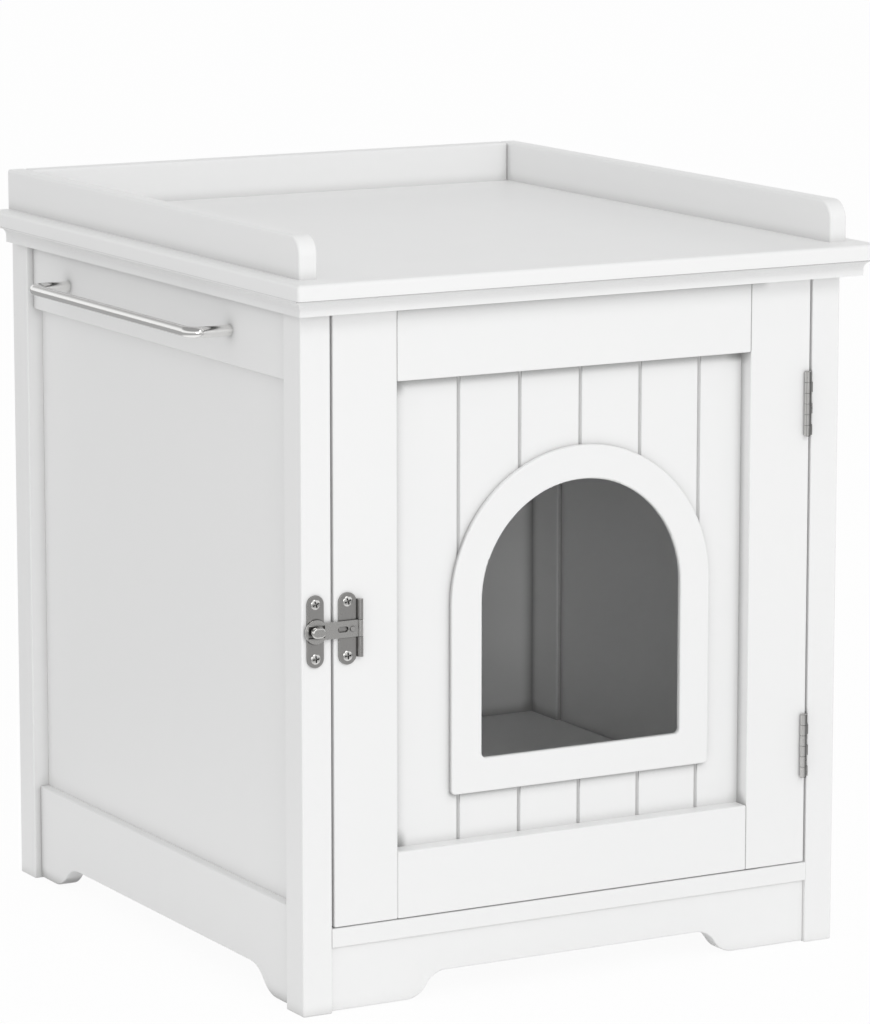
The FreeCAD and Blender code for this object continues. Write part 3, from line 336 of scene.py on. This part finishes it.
def screwTree(finish, look):
    tree = bpy.data.node_groups.new("crossHeadScrews", "GeometryNodeTree")
    tree.interface.new_socket("Geometry", in_out="INPUT", socket_type="NodeSocketGeometry")
    for name in sunkScrew:
        tree.interface.new_socket(name, in_out="INPUT", socket_type="NodeSocketFloat")
    tree.interface.new_socket("Geometry", in_out="OUTPUT", socket_type="NodeSocketGeometry")
    wire = Wire(tree)
    source = tree.nodes.new("NodeGroupInput")
    size = {socket.name: Wire(tree, socket) for socket in source.outputs if socket.name}

    def vector(x=0.0, y=0.0, z=0.0):
        return wire.node("ShaderNodeCombineXYZ", inputs={0: x, 1: y, 2: z})

    def moved(shape, shift, scale=(1, 1, 1)):
        return wire.node("GeometryNodeTransform",
                         inputs={"Geometry": shape, "Translation": shift, "Scale": scale})

    def gathered(kind, socket, parts, settings=None, inputs=None):  # several shapes into one socket
        made = wire.node(kind, settings, inputs)
        for part in parts:
            tree.links.new(part.socket, made.socket.node.inputs[socket])
        return made

    # the screw points along +Z, its face at zero
    head = wire.node("GeometryNodeMeshCone", inputs={
        "Vertices": look["sides"], "Radius Bottom": size["Head Radius"],
        "Radius Top": size["Neck Radius"], "Depth": size["Head Depth"]})
    crown = wire.node("GeometryNodeMeshUVSphere", inputs={
        "Segments": look["sides"], "Rings": look["rings"], "Radius": 1.0})
    crownRadius = size["Head Radius"] * look["crownShare"]
    crown = moved(crown, vector(), vector(crownRadius, crownRadius, size["Dome"] + look["overlap"]))
    crown = moved(crown, vector(0.0, 0.0, look["overlap"]))
    reach, width, depth = size["Cross Reach"] * 2, size["Cross Width"], size["Cross Depth"] * 2
    bars = []
    for spread in (vector(reach, width, depth), vector(width, reach, depth)):
        cube = wire.node("GeometryNodeMeshCube", inputs={"Size": spread})
        bars.append(moved(cube, vector(0.0, 0.0, size["Dome"] * -1.0)))
    topped = gathered("GeometryNodeMeshBoolean", "Mesh 2", (head, crown),
                      {"operation": "UNION", "solver": "EXACT"})
    cutHead = gathered("GeometryNodeMeshBoolean", "Mesh 2", bars,
                       {"operation": "DIFFERENCE", "solver": "EXACT"}, {"Mesh 1": topped})
    shank = wire.node("GeometryNodeMeshCylinder", inputs={
        "Vertices": look["shankSides"], "Radius": size["Neck Radius"] * look["shankShare"],
        "Depth": size["Shank Length"]})
    shankMiddle = size["Head Depth"] + size["Shank Length"] * 0.5 - look["overlap"]
    shank = moved(shank, vector(0.0, 0.0, shankMiddle))
    screw = gathered("GeometryNodeJoinGeometry", "Geometry", (cutHead, shank))
    aim = wire.node("GeometryNodeInputNamedAttribute", {"data_type": "FLOAT_VECTOR"}, {"Name": "aim"})
    facing = wire.node("FunctionNodeAlignRotationToVector", {"axis": "Z"}, {"Vector": aim})
    spin = wire.node("FunctionNodeRandomValue", {"data_type": "FLOAT"},
                     {2: 0.0, 3: math.tau, "Seed": look["seed"]}, out=1)
    turn = wire.node("FunctionNodeAxisAngleToRotation", inputs={"Axis": (0, 0, 1), "Angle": spin})
    facing = wire.node("FunctionNodeRotateRotation", {"rotation_space": "LOCAL"}, {0: facing, 1: turn})
    placed = wire.node("GeometryNodeInstanceOnPoints", inputs={
        "Points": size["Geometry"], "Instance": screw, "Rotation": facing})
    solid = wire.node("GeometryNodeRealizeInstances", inputs={"Geometry": placed})
    solid = wire.node("GeometryNodeSetMaterial", inputs={"Geometry": solid, "Material": finish})
    wire.node("NodeGroupOutput", inputs={"Geometry": solid})
    return tree


def makeScrews(name, body, tree, spots, sizes, stands):
    mesh = bpy.data.meshes.new(name)
    mesh.from_pydata([spot for spot, aim in spots], [], [])
    aims = mesh.attributes.new("aim", "FLOAT_VECTOR", "POINT")
    for item, (spot, aim) in zip(aims.data, spots):
        item.vector = aim
    piece = bpy.data.objects.new(name, mesh)
    scene.collection.objects.link(piece)
    modifier = piece.modifiers.new("screws", "NODES")
    modifier.node_group = tree
    for socket in tree.interface.items_tree:
        if socket.in_out == "INPUT" and socket.name in sizes:
            modifier[socket.identifier] = sizes[socket.name]
    evaluated = piece.evaluated_get(bpy.context.evaluated_depsgraph_get())
    piece.data = bpy.data.meshes.new_from_object(evaluated)
    piece.modifiers.clear()
    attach(piece, body)
    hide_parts(*stands)
    print("screws:", name, len(spots), "set,", len(piece.data.polygons), "faces")


def plateSpots(node, radius):  # two screws, one above the other, heads to the front
    low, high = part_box(node)
    middle = (low.x + high.x) / 2
    return [((middle, low.y, z), (0, 1, 0)) for z in (low.z + radius, high.z - radius)]


def leafSpots(node, radius, pitch, way):  # two screws in each leaf, heads towards the gap
    low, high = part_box(node)
    face, middle = (low.x if way > 0 else high.x), (low.y + high.y) / 2
    heights = (low.z + radius, low.z + radius + pitch, high.z - radius - pitch, high.z - radius)
    return [((face, middle, z), (way, 0, 0)) for z in heights]


def barSpots(node, radius):  # heads inside the cabinet
    low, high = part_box(node)
    return [((high.x, y, (low.z + high.z) / 2), (-1, 0, 0)) for y in (low.y + radius, high.y - radius)]


leafPitch = 0.0305  # between the two screws of a leaf
screws = screwTree(finishes["screw_steel"], screwMesh)
sunk, raised, pan = sunkScrew["Head Radius"], raisedScrew["Head Radius"], panScrew["Head Radius"]
makeScrews("postLeafScrews", "cabinet", screws, leafSpots("hinge_screws_post", sunk, leafPitch, 1),
           sunkScrew, ["hinge_screws_post"])
makeScrews("doorLeafScrews", "door", screws, leafSpots("hinge_screws_door", sunk, leafPitch, -1),
           sunkScrew, ["hinge_screws_door"])
makeScrews("postPlateScrews", "cabinet", screws, plateSpots("latch_post_screws", raised),
           raisedScrew, ["latch_post_screws"])
makeScrews("haspPlateScrews", "door", screws, plateSpots("latch_door_screws", raised),
           raisedScrew, ["latch_door_screws"])
makeScrews("barScrews", "cabinet", screws, barSpots("towel_bar_screws", pan),
           panScrew, ["towel_bar_screws"])


# strip under the floor's front edge, behind the ledge: it shows when the door is open
riserLook = {"thickness": 0.01, "sideGap": 0.0003, "edge": 0.0008, "edgeSteps": 2, "edgeProfile": 0.5}


def makeRiser(name, look):
    floorLow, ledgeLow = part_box("floor_board")[0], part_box("front_ledge")[0]
    left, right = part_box("floor_cleat_left")[1].x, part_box("floor_cleat_right")[0].x
    low = (left + look["sideGap"], floorLow.y, ledgeLow.z)
    high = (right - look["sideGap"], floorLow.y + look["thickness"], floorLow.z)
    shape = bmesh.new()
    bmesh.ops.create_cube(shape, size=1.0)
    for vertex in shape.verts:
        vertex.co = [last if side > 0 else first for side, first, last in zip(vertex.co, low, high)]
    bmesh.ops.bevel(shape, geom=shape.edges[:], offset=look["edge"], segments=look["edgeSteps"],
                    profile=look["edgeProfile"], affect="EDGES")
    mesh = bpy.data.meshes.new(name)
    shape.to_mesh(mesh)
    shape.free()
    mesh.materials.append(finishes["white_paint"])
    piece = bpy.data.objects.new(name, mesh)
    scene.collection.objects.link(piece)
    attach(piece, "cabinet")
    print("riser:", len(mesh.polygons), "faces")


makeRiser("floorRiser", riserLook)


# floor and background: white to the camera, and to metal as far as the paper and the backdrop reach
stageLook = {
    "size": 40.0, "seen": 0.95, "paper": (0.5, 1.0), "beyond": 0.4,
    "colour": (0.97, 0.97, 0.97, 1), "speckled": (0.955, 0.955, 0.955, 1), "speck": (12.0, 2.0, 0.5),
    "worldFill": 0.755, "backdrop": (0.25, 0.52), "ceiling": 0.35,
}


def rayKinds(wire):  # camera rays, and the rays that metal and glass send on
    path = wire.node("ShaderNodeLightPath").socket.node
    camera, glossy, through = (Wire(wire.tree, path.outputs[name]) for name in
                               ("Is Camera Ray", "Is Glossy Ray", "Is Transmission Ray"))
    return camera, wire.sum("MAXIMUM", glossy, through)


def makeFloor(look):
    half = look["size"] / 2
    rim = [(-half, -half, 0), (half, -half, 0), (half, half, 0), (-half, half, 0)]
    mesh = bpy.data.meshes.new("floor")
    mesh.from_pydata(rim, [], [(0, 1, 2, 3)])
    floor = bpy.data.objects.new("floor", mesh)
    scene.collection.objects.link(floor)
    material, wire, place = startFinish("paleFloor")
    camera, mirrored = rayKinds(wire)
    speck = noise(wire, place, look["speck"])
    matte = wire.node("ShaderNodeBsdfDiffuse", inputs={
        "Color": blendColour(wire, speck, look["colour"], look["speckled"])})
    away = wire.node("ShaderNodeVectorMath", {"operation": "LENGTH"}, {0: place}, out="Value")
    paper = wire.sum("MAXIMUM", camera, fading(wire, away, look["paper"], 1.0, look["beyond"]))
    glow = wire.node("ShaderNodeEmission", inputs={
        "Color": blendColour(wire, paper, (0, 0, 0, 1), (1, 1, 1, 1)), "Strength": 1.0})
    shown = wire.sum("MAXIMUM", camera, mirrored) * look["seen"]
    mixed = wire.node("ShaderNodeMixShader", inputs={0: shown, 1: matte, 2: glow})
    wire.node("ShaderNodeOutputMaterial", inputs={"Surface": mixed})
    mesh.materials.append(material)


def makeWorld(look):
    world = bpy.data.worlds.new("studio")
    scene.world = world
    world.use_nodes = True
    world.node_tree.nodes.clear()
    wire = Wire(world.node_tree)
    camera, mirrored = rayKinds(wire)
    way = wire.node("ShaderNodeTexCoord", out="Generated")
    height = wire.node("ShaderNodeSeparateXYZ", inputs={0: way}, out="Z")
    backdrop = fading(wire, height, look["backdrop"], 1.0, look["ceiling"])
    fill = look["worldFill"]
    strength = camera * (1 - fill) + mirrored * (backdrop - fill) + fill
    back = wire.node("ShaderNodeBackground", inputs={"Color": (1, 1, 1, 1), "Strength": strength})
    wire.node("ShaderNodeOutputWorld", inputs={"Surface": back})


# soft boxes: place, aim, size and power
lampSet = {
    "frontBox": {"spot": (0.3, -4.2, 3.3), "aim": (0.0, -0.1, 0.3), "size": 1.6, "power": 35.0},
    "lowBox": {"spot": (-1.7, -4.0, 0.95), "aim": (0.0, -0.1, 0.3), "size": 1.4, "power": 19.5},
}


def makeLamps(lamps):
    for name, lamp in lamps.items():
        light = bpy.data.lights.new(name, "AREA")
        light.shape, light.size, light.energy = "SQUARE", lamp["size"], lamp["power"]
        thing = bpy.data.objects.new(name, light)
        scene.collection.objects.link(thing)
        thing.location = lamp["spot"]
        aim = Vector(lamp["aim"]) - Vector(lamp["spot"])
        thing.rotation_euler = aim.to_track_quat("-Z", "Y").to_euler()


# long lens from the front left, above the top board
cameraView = {
    "spot": (-1.9147, -3.4794, 1.0377), "turn": -29.056, "drop": 10.139, "lens": 174.92, "sensor": 36.0,
}


def makeCamera(look):
    lens = bpy.data.cameras.new("camera")
    lens.lens, lens.sensor_width = look["lens"], look["sensor"]
    camera = bpy.data.objects.new("camera", lens)
    scene.collection.objects.link(camera)
    camera.location = look["spot"]
    camera.rotation_euler = (math.radians(90 - look["drop"]), 0, math.radians(look["turn"]))
    scene.camera = camera


makeFloor(stageLook)
makeWorld(stageLook)
makeLamps(lampSet)
makeCamera(cameraView)
print("stage: floor, world,", len(lampSet), "lamps, camera")
